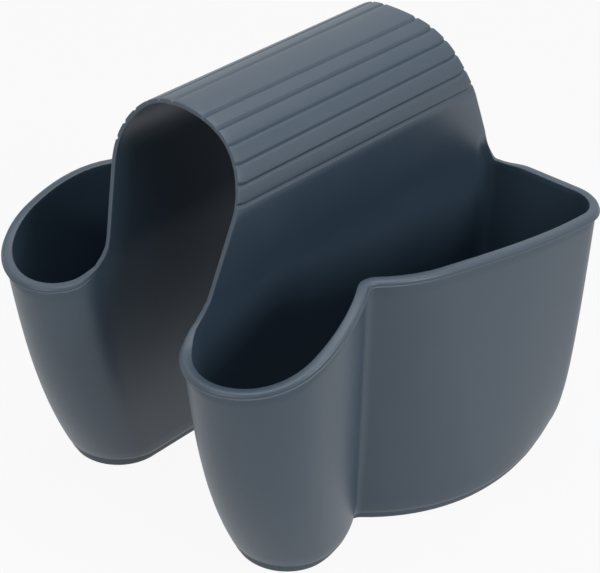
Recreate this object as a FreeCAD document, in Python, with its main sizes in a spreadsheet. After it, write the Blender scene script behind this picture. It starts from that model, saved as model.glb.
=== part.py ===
"""Kitchen sink caddy: a flexible saddle over a sink divider with a pocket on each side.

Frame: millimetres, +Z up, the floor at Z = 0. X runs across the divider and X = 0 is the plane of
symmetry. Y runs along the divider, with the round tube lobes at -Y and the wide lobes at +Y.
"""
import FreeCAD, Part
import math
import os

import Sketcher

doc = FreeCAD.newDocument("sink_caddy")
sheet = doc.addObject("Spreadsheet::Sheet", "sizes")

# Driving dimensions: name, value in millimetres (degrees where the note says so), note.
# A foot_ and a rim_ value of the same name are one size at the foot and at the rim of a pocket.
SIZES = (
    ("saddle_height", 165.2, "floor to the top of the arch"),
    ("arch_radius", 29.6, "outside of the arch"),
    ("strap_wall", 1.8, "arch and legs"),
    ("strap_length", 109.7, "arch along the divider, at its top"),
    ("strap_shift", 1.35, "middle of the arch beyond the middle of the pockets"),
    ("crown_angle", 14.4, "degrees from the top to the first groove"),
    ("groove_angle", 12.7, "degrees from groove to groove"),
    ("groove_depth", 0.9, "V groove between two ribs"),
    ("groove_width", 1.7, "V groove at its mouth"),
    ("relief_angle", 6.5, "degrees the legs' ends lean back behind the flex groove"),
    ("neck_drop", 61.2, "bend where the legs turn down, below the top of the arch"),
    ("neck_radius", 47.0, "that bend, on the divider side"),
    ("near_brow", 1.0, "near edge of the legs beyond the arch, where it leaves the top"),
    ("near_brow_drop", 15.2, "that place below the top of the arch"),
    ("near_waist", 12.3, "near edge of the legs beyond the arch, at its waist"),
    ("near_waist_rise", 4.5, "near waist above the lip"),
    ("near_wing", 19.2, "near edge of the legs beyond the arch, at the lip"),
    ("near_foot_lap", 2.3, "near edge of the legs behind the tube's bend, at the floor"),
    ("far_waist", 5.1, "far edge of the legs beyond the arch, at its waist"),
    ("far_waist_drop", 14.7, "far waist below the top of the arch"),
    ("far_wing", 0.8, "sweep of the far edge of the legs into the far wall"),
    ("far_wing_rise", 12.6, "start of that sweep above the lip"),
    ("foot_half_gap", 24.0, "half the gap for the divider"),
    ("rim_half_gap", 23.6, "half the gap for the divider"),
    ("foot_nose_y", -45.9, "start of the tube's bend"),
    ("rim_nose_y", -75.5, "start of the tube's bend"),
    ("foot_nose_radius", 20.4, "tube, divider side"),
    ("rim_nose_radius", 18.2, "tube, divider side"),
    ("foot_front_radius", 19.6, "tube, front"),
    ("rim_front_radius", 29.9, "tube, front"),
    ("foot_cheek_radius", 44.5, "tube, outer side"),
    ("rim_cheek_radius", 61.8, "tube, outer side"),
    ("foot_shoulder_radius", 74.5, "wide lobe beside the pinch"),
    ("rim_shoulder_radius", 46.8, "wide lobe beside the pinch"),
    ("foot_shoulder_angle", 8.3, "degrees from the shoulder to the widest point"),
    ("rim_shoulder_angle", 12.0, "degrees from the shoulder to the widest point"),
    ("foot_side_radius", 94.8, "wide lobe, outer side"),
    ("rim_side_radius", 374.0, "wide lobe, outer side"),
    ("foot_side_x", 82.0, "widest point of the wide lobe"),
    ("rim_side_x", 81.7, "widest point of the wide lobe"),
    ("foot_side_y", 38.7, "widest point of the wide lobe"),
    ("rim_side_y", 74.3, "widest point of the wide lobe"),
    ("foot_corner_radius", 17.0, "far corner, outer side"),
    ("rim_corner_radius", 15.3, "far corner, outer side"),
    ("foot_far_y", 85.5, "far wall"),
    ("rim_far_y", 90.0, "far wall"),
    ("pinch_radius", 2.4, "valley between the tube and the wide lobe"),
    ("back_radius", 5.0, "corner of the far wall and the leg"),
    ("shin_height_share", 0.3, "height of the lower section between the foot and the rim"),
    ("shin_outline_share", 0.47, "how far the lower section has opened from foot to rim"),
    ("belly_height_share", 0.65, "height of the upper section between the foot and the rim"),
    ("belly_outline_share", 0.78, "how far the upper section has opened from foot to rim"),
    ("pocket_wall", 1.8, "pocket walls"),
    ("nose_rim_height", 92.4, "lip at the front of the tube"),
    ("crest_rim_height", 111.0, "lip at its highest point"),
    ("far_rim_height", 100.6, "lip at the far wall"),
    ("crest_y", -27.0, "highest point of the lip"),
    ("lip_height", 2.2, "thick lip round the mouth"),
    ("lip_overhang", 1.5, "lip beyond the wall"),
    ("foot_height", 2.6, "foot ring"),
    ("foot_inset", 2.0, "foot ring behind the wall"),
    ("foot_width", 2.6, "foot ring"),
    ("foot_edge", 1.2, "rounding of the floor's lower edge"),
    ("floor_thickness", 2.0, "pocket floor"),
    ("drain_diameter", 6.0, "drain hole"),
    ("drain_pitch", 24.0, "drain holes along the floor"),
    ("drain_from_front", 26.0, "first drain hole behind the front of the foot"),
    ("drain_from_leg", 21.0, "drain holes beside the leg"),
    ("drain_count", 5, "drain holes"),
    ("overrun", 5.0, "cutting solids past what they cut"),
)
for row, (alias, value, note) in enumerate(SIZES, start=1):
    sheet.set(f"A{row}", alias)
    sheet.set(f"B{row}", str(value))
    sheet.set(f"C{row}", note)
    sheet.setAlias(f"B{row}", alias)
doc.recompute()


def size(alias):
    """A driving dimension as a number."""
    return float(sheet.get(alias))


def cell(alias):
    """A driving dimension as a term of an expression."""
    return f"<<sizes>>.{alias}"


def polar(centre, radius, angle):
    """Point on a circle, with the angle in degrees."""
    turn = math.radians(angle)
    return centre + FreeCAD.Vector(math.cos(turn), math.sin(turn), 0) * radius


def bearing(vector):
    """Direction of a vector in degrees."""
    return math.degrees(math.atan2(vector.y, vector.x))


# Heights and angles that several pieces share
FLOOR_TOP = size("foot_height") + size("floor_thickness")
LOFT_TOP = size("crest_rim_height") + size("overrun")
ARCH_CENTRE = size("saddle_height") - size("arch_radius")
NECK_HEIGHT = size("saddle_height") - size("neck_drop")
FLEX_ANGLE = size("crown_angle") + 2 * size("groove_angle")
FLEX_EXPRESSION = f"({cell('crown_angle')} + 2 * {cell('groove_angle')})"
ARCH_CENTRE_EXPRESSION = f"({cell('saddle_height')} - {cell('arch_radius')})"
NECK_EXPRESSION = f"({cell('saddle_height')} - {cell('neck_drop')})"
FLOOR_EXPRESSION = f"({cell('foot_height')} + {cell('floor_thickness')})"
LOFT_TOP_EXPRESSION = f"({cell('crest_rim_height')} + {cell('overrun')})"
RIM_FRONT = size("rim_nose_y") - size("rim_nose_radius")
DRAIN_START = size("foot_nose_y") - size("foot_nose_radius") + size("drain_from_front")


class Profile:
    """A sketch of lines and arcs on one of a body's own origin planes."""

    def __init__(self, body, name, plane):
        self.sketch = body.newObject("Sketcher::SketchObject", name)
        support = next(f for f in body.Origin.OriginFeatures if f.Role == plane)
        self.sketch.AttachmentSupport = [(support, "")]
        self.sketch.MapMode = "FlatFace"

    def line(self, start, end):
        return self.sketch.addGeometry(Part.LineSegment(start, end), False)

    def arc(self, centre, radius, start, end):
        """Arc from one bearing to another; it runs clockwise where end is the smaller."""
        circle = Part.Circle(centre, FreeCAD.Vector(0, 0, 1), radius)
        low, high = sorted((math.radians(start), math.radians(end)))
        return self.sketch.addGeometry(Part.ArcOfCircle(circle, low, high), False)

    def rule(self, *terms):
        return self.sketch.addConstraint(Sketcher.Constraint(*terms))

    def drive(self, name, expression, *terms):
        """A dimension that follows the sheet."""
        index = self.rule(*terms)
        self.sketch.renameConstraint(index, name)
        self.sketch.setExpression(f"Constraints.{name}", expression)


# Pocket outlines

def blend(name, share):
    """A pocket size between the foot (share 0) and the rim (share 1), as a number."""
    low = size("foot_" + name)
    return low + (size("rim_" + name) - low) * share


def section_outline(share, grow):
    """Centres, radii and bearings of a pocket outline, grown outwards by a length."""
    nose_radius = blend("nose_radius", share)
    front_radius = blend("front_radius", share)
    cheek_radius = blend("cheek_radius", share)
    shoulder_radius = blend("shoulder_radius", share)
    side_radius = blend("side_radius", share)
    corner_radius = blend("corner_radius", share)
    turn = blend("shoulder_angle", share)
    pinch_radius = size("pinch_radius")
    back_radius = size("back_radius")
    inner_x = blend("half_gap", share)
    far_y = blend("far_y", share)
    nose = FreeCAD.Vector(inner_x + nose_radius, blend("nose_y", share), 0)
    front = FreeCAD.Vector(nose.x, nose.y - nose_radius + front_radius, 0)
    cheek = FreeCAD.Vector(front.x + front_radius - cheek_radius, front.y, 0)
    side = FreeCAD.Vector(blend("side_x", share) - side_radius, blend("side_y", share), 0)
    shoulder = polar(side, side_radius - shoulder_radius, -turn)
    # The pinch is a round valley that touches the cheek and the shoulder from outside.
    reach_cheek = cheek_radius + pinch_radius
    reach_shoulder = shoulder_radius + pinch_radius
    span = shoulder - cheek
    along = (span.Length ** 2 + reach_cheek ** 2 - reach_shoulder ** 2) / (2 * span.Length)
    across = math.sqrt(reach_cheek ** 2 - along ** 2)
    forward = FreeCAD.Vector(span).normalize()
    outward = FreeCAD.Vector(forward.y, -forward.x, 0)
    pinch = cheek + forward * along + outward * across
    corner_y = far_y - corner_radius
    corner_reach = side_radius - corner_radius
    corner = FreeCAD.Vector(side.x + math.sqrt(corner_reach ** 2 - (corner_y - side.y) ** 2), corner_y, 0)
    back = FreeCAD.Vector(inner_x + back_radius, far_y - back_radius, 0)
    cheek_end = bearing(pinch - cheek)
    shoulder_start = bearing(pinch - shoulder)
    corner_start = bearing(corner - side)
    arcs = {
        "nose": (nose, nose_radius + grow, 180, 270),
        "front": (front, front_radius + grow, 270, 360),
        "cheek": (cheek, cheek_radius + grow, 0, cheek_end),
        "pinch": (pinch, pinch_radius - grow, shoulder_start + 180, cheek_end + 180),
        "shoulder": (shoulder, shoulder_radius + grow, shoulder_start, -turn),
        "side": (side, side_radius + grow, -turn, corner_start),
        "corner": (corner, corner_radius + grow, corner_start, 90),
        "back": (back, back_radius + grow, 90, 180),
    }
    return arcs, inner_x - grow, far_y + grow


def blend_expression(name, share):
    """A pocket size between the foot and the rim, as an expression."""
    low = cell("foot_" + name)
    return f"({low} + ({cell('rim_' + name)} - {low}) * {share})"


def pocket_section(body, name, share, grow, height):
    """Sketch of one pocket outline; share, grow and height are expressions of the sheet."""
    profile = Profile(body, name, "XY_Plane")
    sketch = profile.sketch
    sketch.setExpression("AttachmentOffset.Base.z", height)
    share_now = sheet_value(share)
    grow_now = sheet_value(grow)
    arcs, inner_x, far_y = section_outline(share_now, grow_now)
    edge = {}
    for part_name, (centre, radius, start, end) in arcs.items():
        edge[part_name] = profile.arc(centre, radius, start, end)
    edge["far"] = profile.line(polar(*arcs["corner"][:2], 90), polar(*arcs["back"][:2], 90))
    edge["leg"] = profile.line(polar(*arcs["back"][:2], 180), polar(*arcs["nose"][:2], 180))
    # Every joint is smooth. An arc starts at its point 1 and ends at its point 2, and the pinch runs back.
    loop = ("nose", "front", "cheek", "pinch", "shoulder", "side", "corner", "far", "back", "leg")
    for first, second in zip(loop, loop[1:] + loop[:1]):
        leaves = 1 if first == "pinch" else 2
        enters = 2 if second == "pinch" else 1
        profile.rule("Tangent", edge[first], leaves, edge[second], enters)
    profile.rule("Vertical", edge["leg"])
    profile.rule("Horizontal", edge["far"])
    profile.rule("Vertical", edge["nose"], 3, edge["front"], 3)
    profile.rule("Horizontal", edge["front"], 3, edge["cheek"], 3)
    for part_name in ("nose", "front", "cheek", "shoulder", "side", "corner"):
        radius = blend_expression(part_name + "_radius", share) + f" + {grow}"
        profile.drive(part_name + "_radius", radius, "Radius", edge[part_name], arcs[part_name][1])
    pinch = f"{cell('pinch_radius')} - {grow}"
    profile.drive("pinch_radius", pinch, "Radius", edge["pinch"], arcs["pinch"][1])
    back = f"{cell('back_radius')} + {grow}"
    profile.drive("back_radius", back, "Radius", edge["back"], arcs["back"][1])
    gap = blend_expression("half_gap", share) + f" - {grow}"
    profile.drive("half_gap", gap, "DistanceX", -1, 1, edge["leg"], 1, inner_x)
    far = blend_expression("far_y", share) + f" + {grow}"
    profile.drive("far_y", far, "DistanceY", -1, 1, edge["far"], 1, far_y)
    nose = blend_expression("nose_y", share)
    profile.drive("nose_y", nose, "DistanceY", -1, 1, edge["nose"], 3, arcs["nose"][0].y)
    side_y = blend_expression("side_y", share)
    profile.drive("side_y", side_y, "DistanceY", -1, 1, edge["side"], 3, arcs["side"][0].y)
    side_x = blend_expression("side_x", share) + " - " + blend_expression("side_radius", share)
    profile.drive("side_x", side_x, "DistanceX", -1, 1, edge["side"], 3, arcs["side"][0].x)
    return sketch


def sheet_value(expression):
    """Value of an expression of the sheet."""
    return float(sheet.evalExpression(expression))


def pocket_loft(name, grow):
    """Solid lofted through the outlines of the right pocket from its foot to above its rim."""
    body = doc.addObject("PartDesign::Body", name)
    rise = f"({LOFT_TOP_EXPRESSION} - {FLOOR_EXPRESSION})"
    stations = [("foot", "0", "0")]
    for station in ("shin", "belly"):
        stations.append((station, cell(station + "_height_share"), cell(station + "_outline_share")))
    stations.append(("rim", "1", "1"))
    sections = []
    for station, height_share, outline_share in stations:
        height = f"{FLOOR_EXPRESSION} + {rise} * {height_share}"
        sections.append(pocket_section(body, f"{name}_{station}", outline_share, grow, height))
    doc.recompute()
    loft = body.newObject("PartDesign::AdditiveLoft", name + "_loft")
    loft.Profile = sections[0]
    loft.Sections = sections[1:]
    loft.Refine = False
    return body


def prism(name, outline, x_start, x_end):
    """Solid between two X values over a side view outline of edges in the YZ plane."""
    face = Part.Face(Part.Wire(outline))
    face.translate(FreeCAD.Vector(x_start, 0, 0))
    solid = doc.addObject("Part::Feature", name)
    solid.Shape = face.extrude(FreeCAD.Vector(x_end - x_start, 0, 0))
    return solid


def side_point(y, z):
    return FreeCAD.Vector(0, y, z)


def side_lines(*points):
    """Straight edges from point to point of a side view."""
    return [Part.makeLine(start, end) for start, end in zip(points, points[1:])]


def side_curve(*poles):
    """One smooth edge that leaves its first pole towards the second and ends the same way."""
    curve = Part.BezierCurve()
    curve.setPoles(list(poles))
    return curve.toShape()


def boolean(kind, name, base, tool):
    """Part::Cut or Part::Common of two objects."""
    result = doc.addObject("Part::" + kind, name)
    result.Base = base
    result.Tool = tool
    return result


# Lip line in side view: it rises from the nose of the tube to a crest and falls to the far wall.

def lip_spans():
    """The lip's two eased spans in side view, each from a start to an end point."""
    front = side_point(RIM_FRONT - size("overrun"), size("nose_rim_height"))
    crest = side_point(size("crest_y"), size("crest_rim_height"))
    far = side_point(size("rim_far_y") + size("overrun"), size("far_rim_height"))
    return (front, crest), (crest, far)


def lip_line(drop):
    """The lip's curves, lowered by a length, and their end points."""
    down = side_point(0, -drop)
    curves = []
    for start, end in lip_spans():
        third = side_point((end.y - start.y) / 3, 0)
        curves.append(side_curve(start + down, start + third + down, end - third + down, end + down))
    return curves, lip_spans()[0][0] + down, lip_spans()[1][1] + down


def lip_height_at(y):
    """Height of the lip at a place along the divider."""
    start, end = lip_spans()[y > size("crest_y")]
    share = (y - start.y) / (end.y - start.y)
    return start.z + (end.z - start.z) * share * share * (3 - 2 * share)


# Side view of the strap: flared ends that run down into the rims

NEAR_END = size("strap_shift") - size("strap_length") / 2
FAR_END = size("strap_shift") + size("strap_length") / 2


def leg_corners():
    """Side view of a leg inside its pocket: near lip, near foot, far foot and far lip."""
    near_rim_y = NEAR_END - size("near_wing")
    far_rim_y = size("rim_far_y") - size("back_radius")
    return (
        side_point(near_rim_y, lip_height_at(near_rim_y)),
        side_point(size("foot_nose_y") + size("near_foot_lap"), FLOOR_TOP),
        side_point(size("foot_far_y") - size("back_radius"), FLOOR_TOP),
        side_point(far_rim_y, lip_height_at(far_rim_y)),
    )


def slot_outline():
    """Closed side view of the place that a leg takes in its pocket, open upwards."""
    near_rim, near_foot, far_foot, far_rim = leg_corners()
    over = LOFT_TOP + size("overrun")
    far_top = side_point(far_rim.y, over)
    near_top = side_point(near_rim.y, over)
    return side_lines(near_rim, near_foot, far_foot, far_rim, far_top, near_top, near_rim)


def strap_outline():
    """Closed side view of the arch and its legs."""
    height = size("saddle_height")
    over = height + size("overrun")
    near_rim, near_foot, far_foot, far_rim = leg_corners()
    near_top = side_point(NEAR_END, height)
    far_top = side_point(FAR_END, height)
    near_edge = side_curve(
        near_top,
        side_point(NEAR_END - size("near_brow"), height - size("near_brow_drop")),
        side_point(NEAR_END - size("near_waist"), near_rim.z + size("near_waist_rise")),
        near_rim,
    )
    far_edge = side_curve(
        far_rim,
        side_point(far_rim.y - size("far_wing"), far_rim.z + size("far_wing_rise")),
        side_point(FAR_END + size("far_waist"), height - size("far_waist_drop")),
        far_top,
    )
    foot = side_lines(near_rim, near_foot, far_foot, far_rim)
    top = side_lines(far_top, side_point(FAR_END, over), side_point(NEAR_END, over), near_top)
    return [near_edge] + foot + [far_edge] + top


# Strap profile across the divider

def plane_point(x, z):
    """Point of a sketch on the XZ plane."""
    return FreeCAD.Vector(x, z, 0)


def strap_pad(body, sketch):
    """Pad along the divider, long enough for the flared ends to be cut from."""
    pad = body.newObject("PartDesign::Pad", body.Name + "_pad")
    pad.Profile = sketch
    pad.SideType = "Symmetric"
    length = f"2 * ({cell('rim_far_y')} - {cell('rim_nose_y')} + {cell('overrun')})"
    pad.setExpression("Length", length)
    doc.recompute()
    return pad


def add_grooves(body, side, step, count):
    """V grooves across the outside of the arch, stepped round its axis from the flex groove of a side."""
    name = f"{body.Name}_groove_{len(body.Group)}"
    profile = Profile(body, name, "XZ_Plane")
    sketch = profile.sketch
    sketch.AttachmentOffset = FreeCAD.Placement(
        FreeCAD.Vector(0, ARCH_CENTRE, 0), FreeCAD.Rotation(FreeCAD.Vector(0, 0, -side), FLEX_ANGLE)
    )
    sketch.setExpression("AttachmentOffset.Base.y", ARCH_CENTRE_EXPRESSION)
    sketch.setExpression("AttachmentOffset.Rotation.Angle", f"{FLEX_EXPRESSION} * 1 deg")
    depth = size("groove_depth")
    half = size("groove_width") / 2
    root = plane_point(0, size("arch_radius") - depth)
    mouth = size("arch_radius") + depth
    right = plane_point(2 * half, mouth)
    left = plane_point(-2 * half, mouth)
    sides = [profile.line(root, right), profile.line(right, left), profile.line(left, root)]
    for first, second in zip(sides, sides[1:] + sides[:1]):
        profile.rule("Coincident", first, 2, second, 1)
    profile.rule("PointOnObject", sides[0], 1, -2)
    profile.rule("Symmetric", sides[1], 1, sides[1], 2, -2)
    root_height = f"{cell('arch_radius')} - {cell('groove_depth')}"
    profile.drive("root", root_height, "DistanceY", -1, 1, sides[0], 1, root.y)
    profile.drive("depth", f"2 * {cell('groove_depth')}", "DistanceY", sides[0], 1, sides[0], 2, 2 * depth)
    mouth_width = f"2 * {cell('groove_width')}"
    profile.drive("mouth", mouth_width, "DistanceX", sides[1], 2, sides[1], 1, 4 * half)
    doc.recompute()
    cut = body.newObject("PartDesign::Pocket", name + "_cut")
    cut.Profile = sketch
    cut.Type = "ThroughAll"
    cut.SideType = "Symmetric"
    doc.recompute()
    pattern = body.newObject("PartDesign::PolarPattern", name + "_pattern")
    pattern.Originals = [cut]
    pattern.Axis = (sketch, ["N_Axis"])
    pattern.Mode = "Spacing"
    pattern.Occurrences = count
    pattern.Reversed = step > 0
    pattern.setExpression("Offset", f"{cell('groove_angle')} * 1 deg")
    body.Tip = pattern
    doc.recompute()


def crown_body():
    """Top of the arch between the two flex grooves."""
    body = doc.addObject("PartDesign::Body", "crown")
    profile = Profile(body, "crown_profile", "XZ_Plane")
    centre = plane_point(0, ARCH_CENTRE)
    radius = size("arch_radius")
    inside = radius - size("strap_wall")
    right = 90 - FLEX_ANGLE
    left = 90 + FLEX_ANGLE
    top = profile.arc(centre, radius, right, left)
    under = profile.arc(centre, inside, right, left)
    near = profile.line(polar(centre, radius, left), polar(centre, inside, left))
    away = profile.line(polar(centre, inside, right), polar(centre, radius, right))
    profile.rule("Coincident", top, 2, near, 1)
    profile.rule("Coincident", near, 2, under, 2)
    profile.rule("Coincident", under, 1, away, 1)
    profile.rule("Coincident", away, 2, top, 1)
    profile.rule("Coincident", top, 3, under, 3)
    profile.rule("PointOnObject", top, 3, -2)
    profile.rule("PointOnObject", top, 3, near)
    profile.rule("PointOnObject", top, 3, away)
    profile.rule("Horizontal", top, 1, top, 2)
    profile.drive("centre", ARCH_CENTRE_EXPRESSION, "DistanceY", -1, 1, top, 3, ARCH_CENTRE)
    profile.drive("outside", cell("arch_radius"), "Radius", top, radius)
    profile.drive("inside", f"{cell('arch_radius')} - {cell('strap_wall')}", "Radius", under, inside)
    reach = f"{cell('arch_radius')} * sin({FLEX_EXPRESSION} * 1 deg)"
    profile.drive("reach", reach, "DistanceX", -1, 1, top, 1, polar(centre, radius, right).x)
    doc.recompute()
    strap_pad(body, profile.sketch)
    for side in (1, -1):
        add_grooves(body, side, -side, 3)
    return body


def leg_body():
    """Right leg: the lower ribs of the arch, a lean inwards, a neck, and the sheet down to the floor."""
    body = doc.addObject("PartDesign::Body", "leg_sheet")
    profile = Profile(body, "leg_profile", "XZ_Plane")
    wall = size("strap_wall")
    arch_radius = size("arch_radius")
    bend = size("neck_radius")
    flex = 90 - FLEX_ANGLE
    arch = plane_point(0, ARCH_CENTRE)
    # The lower face closes in towards the rim, and the leaning face runs from its corner to the arch.
    foot = plane_point(size("foot_half_gap"), FLOOR_TOP)
    top = plane_point(size("rim_half_gap"), LOFT_TOP)
    corner = foot + (top - foot) * ((NECK_HEIGHT - FLOOR_TOP) / (LOFT_TOP - FLOOR_TOP))
    draft = bearing(top - foot) - 90
    away = corner - arch
    lean = bearing(away) + math.degrees(math.acos((arch_radius - wall) / away.Length))
    # The neck touches both faces from the pocket's side.
    half_turn = math.radians(draft - lean) / 2
    neck = polar(corner, bend / math.cos(half_turn), (draft + lean) / 2)
    faces = []
    for arch_face, neck_face in ((arch_radius, bend - wall), (arch_radius - wall, bend)):
        low_start = polar(neck, neck_face, 180 + draft)
        foot_x = low_start.x + (low_start.y - FLOOR_TOP) * math.tan(math.radians(draft))
        rib = profile.arc(arch, arch_face, lean, flex)
        leaning = profile.line(polar(arch, arch_face, lean), polar(neck, neck_face, 180 + lean))
        turn = profile.arc(neck, neck_face, 180 + lean, 180 + draft)
        lower = profile.line(low_start, plane_point(foot_x, FLOOR_TOP))
        profile.rule("Tangent", rib, 1, leaning, 1)
        profile.rule("Tangent", leaning, 2, turn, 1)
        profile.rule("Tangent", turn, 2, lower, 1)
        faces.append((rib, leaning, turn, lower, foot_x))
    pocket_rib, _, pocket_turn, pocket_lower, pocket_foot = faces[0]
    rib, leaning, turn, lower, divider_foot = faces[1]
    base = profile.line(plane_point(pocket_foot, FLOOR_TOP), plane_point(divider_foot, FLOOR_TOP))
    end = profile.line(polar(arch, arch_radius - wall, flex), polar(arch, arch_radius, flex))
    root_point = polar(arch, arch_radius - size("groove_depth"), flex)
    root = profile.sketch.addGeometry(Part.Point(root_point), True)
    bend_point = profile.sketch.addGeometry(Part.Point(corner), True)
    draft_point = profile.sketch.addGeometry(Part.Point(top), True)
    profile.rule("Coincident", pocket_lower, 2, base, 1)
    profile.rule("Coincident", base, 2, lower, 2)
    profile.rule("Coincident", rib, 2, end, 1)
    profile.rule("Coincident", end, 2, pocket_rib, 2)
    profile.rule("Coincident", pocket_rib, 3, rib, 3)
    profile.rule("Coincident", pocket_turn, 3, turn, 3)
    profile.rule("Parallel", pocket_lower, lower)
    profile.rule("Horizontal", base)
    profile.rule("PointOnObject", rib, 3, -2)
    profile.rule("PointOnObject", root, 1, end)
    profile.rule("PointOnObject", bend_point, 1, leaning)
    profile.rule("PointOnObject", bend_point, 1, lower)
    profile.rule("PointOnObject", draft_point, 1, lower)
    inside = f"({cell('arch_radius')} - {cell('strap_wall')})"
    profile.drive("centre", ARCH_CENTRE_EXPRESSION, "DistanceY", -1, 1, rib, 3, ARCH_CENTRE)
    profile.drive("outside", cell("arch_radius"), "Radius", pocket_rib, arch_radius)
    profile.drive("inside", inside, "Radius", rib, arch_radius - wall)
    profile.drive("neck", cell("neck_radius"), "Radius", turn, bend)
    profile.drive("floor", FLOOR_EXPRESSION, "DistanceY", -1, 1, base, 1, FLOOR_TOP)
    profile.drive("gap", cell("foot_half_gap"), "DistanceX", -1, 1, base, 2, divider_foot)
    profile.drive("bend", NECK_EXPRESSION, "DistanceY", -1, 1, bend_point, 1, corner.y)
    profile.drive("draft_x", cell("rim_half_gap"), "DistanceX", -1, 1, draft_point, 1, top.x)
    profile.drive("draft_z", LOFT_TOP_EXPRESSION, "DistanceY", -1, 1, draft_point, 1, top.y)
    root_reach = f"({cell('arch_radius')} - {cell('groove_depth')})"
    root_x = f"{root_reach} * sin({FLEX_EXPRESSION} * 1 deg)"
    root_z = f"{ARCH_CENTRE_EXPRESSION} + {root_reach} * cos({FLEX_EXPRESSION} * 1 deg)"
    profile.drive("root_x", root_x, "DistanceX", -1, 1, root, 1, root_point.x)
    profile.drive("root_z", root_z, "DistanceY", -1, 1, root, 1, root_point.y)
    end_bearing = f"(90 - {FLEX_EXPRESSION} + {cell('relief_angle')}) * 1 deg"
    profile.drive("end", end_bearing, "Angle", end, math.radians(flex + size("relief_angle")))
    doc.recompute()
    strap_pad(body, profile.sketch)
    add_grooves(body, 1, 1, 4)
    return body


def floor_body():
    """Right pocket floor with its drain holes, on the stepped foot ring."""
    body = doc.addObject("PartDesign::Body", "floor_plate")
    outline = pocket_section(body, "floor_outline", "0", "0", cell("foot_height"))
    doc.recompute()
    plate = body.newObject("PartDesign::Pad", "floor_pad")
    plate.Profile = outline
    plate.setExpression("Length", cell("floor_thickness"))
    doc.recompute()
    under = min(range(len(plate.Shape.Faces)), key=lambda i: plate.Shape.Faces[i].CenterOfMass.z)
    edge = body.newObject("PartDesign::Fillet", "floor_edge")
    edge.Base = (plate, [f"Face{under + 1}"])
    edge.setExpression("Radius", cell("foot_edge"))
    ring = pocket_section(body, "ring_outline", "0", f"(0 - {cell('foot_inset')})", "0")
    doc.recompute()
    foot = body.newObject("PartDesign::Pad", "foot_pad")
    foot.Profile = ring
    foot.setExpression("Length", cell("foot_height"))
    inside = f"(0 - {cell('foot_inset')} - {cell('foot_width')})"
    hollow = pocket_section(body, "ring_hollow", "0", inside, "0")
    doc.recompute()
    recess = body.newObject("PartDesign::Pocket", "foot_recess")
    recess.Profile = hollow
    recess.Reversed = True
    recess.setExpression("Length", cell("foot_height"))
    doc.recompute()
    profile = Profile(body, "drain_outline", "XY_Plane")
    profile.sketch.setExpression("AttachmentOffset.Base.z", FLOOR_EXPRESSION)
    place = FreeCAD.Vector(size("foot_half_gap") + size("drain_from_leg"), DRAIN_START, 0)
    ring_circle = Part.Circle(place, FreeCAD.Vector(0, 0, 1), size("drain_diameter") / 2)
    circle = profile.sketch.addGeometry(ring_circle, False)
    drain_x = f"{cell('foot_half_gap')} + {cell('drain_from_leg')}"
    drain_y = f"{cell('foot_nose_y')} - {cell('foot_nose_radius')} + {cell('drain_from_front')}"
    profile.drive("across", drain_x, "DistanceX", -1, 1, circle, 3, place.x)
    profile.drive("along", drain_y, "DistanceY", -1, 1, circle, 3, place.y)
    profile.drive("bore", f"{cell('drain_diameter')} / 2", "Radius", circle, size("drain_diameter") / 2)
    doc.recompute()
    drain = body.newObject("PartDesign::Pocket", "drain_hole")
    drain.Profile = profile.sketch
    drain.Type = "ThroughAll"
    doc.recompute()
    row = body.newObject("PartDesign::LinearPattern", "drain_row")
    row.Originals = [drain]
    row.Direction = (profile.sketch, ["V_Axis"])
    row.Mode = "Spacing"
    row.Occurrences = int(size("drain_count"))
    row.setExpression("Offset", cell("drain_pitch"))
    body.Tip = row
    doc.recompute()
    return body


# Right half

outside = pocket_loft("pocket_outside", "0")
cavity = pocket_loft("pocket_cavity", f"(0 - {cell('pocket_wall')})")
lip_outside = pocket_loft("lip_outside", cell("lip_overhang"))
doc.recompute()

reach = size("rim_side_x") + size("lip_overhang") + size("overrun")
lip_low, low_front, low_far = lip_line(size("lip_height"))
lip_top, top_front, top_far = lip_line(0)
floor_front = side_point(low_front.y, FLOOR_TOP)
floor_far = side_point(low_far.y, FLOOR_TOP)
under_lip = prism("under_lip", lip_low + side_lines(low_far, floor_far, floor_front, low_front), 0, reach)
lip_edges = side_lines(top_front, low_front) + lip_low + side_lines(low_far, top_far) + lip_top[::-1]
lip_band = prism("lip_band", lip_edges, 0, reach)
slot_depth = size("foot_half_gap") + size("strap_wall") + size("overrun")
leg_slot = prism("leg_slot", slot_outline(), 0, slot_depth)
strap_side = prism("strap_side", strap_outline(), -reach, reach)

pocket_shell = boolean("Cut", "pocket_shell", outside, cavity)
pocket_trimmed = boolean("Common", "pocket_trimmed", pocket_shell, under_lip)
right_pocket = boolean("Cut", "right_pocket", pocket_trimmed, leg_slot)
lip_shell = boolean("Cut", "lip_shell", lip_outside, cavity)
lip_trimmed = boolean("Common", "lip_trimmed", lip_shell, lip_band)
right_rim = boolean("Cut", "right_rim", lip_trimmed, leg_slot)
right_leg = boolean("Common", "right_leg", leg_body(), strap_side)
right_floor = floor_body()
right_floor.Label = "right_floor"
crown = boolean("Common", "saddle_crown", crown_body(), strap_side)
doc.recompute()

nodes = [crown]
for piece in (right_leg, right_pocket, right_rim, right_floor):
    mirror = doc.addObject("Part::Mirroring", piece.Label.replace("right", "left"))
    mirror.Source = piece
    mirror.Normal = FreeCAD.Vector(1, 0, 0)
    nodes += [mirror, piece]
doc.recompute()

for item in doc.Objects:
    if "Invalid" in item.State or "Error" in item.State:
        raise RuntimeError(f"{item.Name} failed: {item.State}")
for node in nodes:
    if node.Shape.isNull() or not node.Shape.isValid():
        raise RuntimeError(f"{node.Label} has no valid shape")

os.makedirs("parts", exist_ok=True)
for node in nodes:
    node.Shape.exportStep(f"parts/{node.Label}.step")
    print(node.Label, "solids", len(node.Shape.Solids), "volume", round(node.Shape.Volume, 1))
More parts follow.
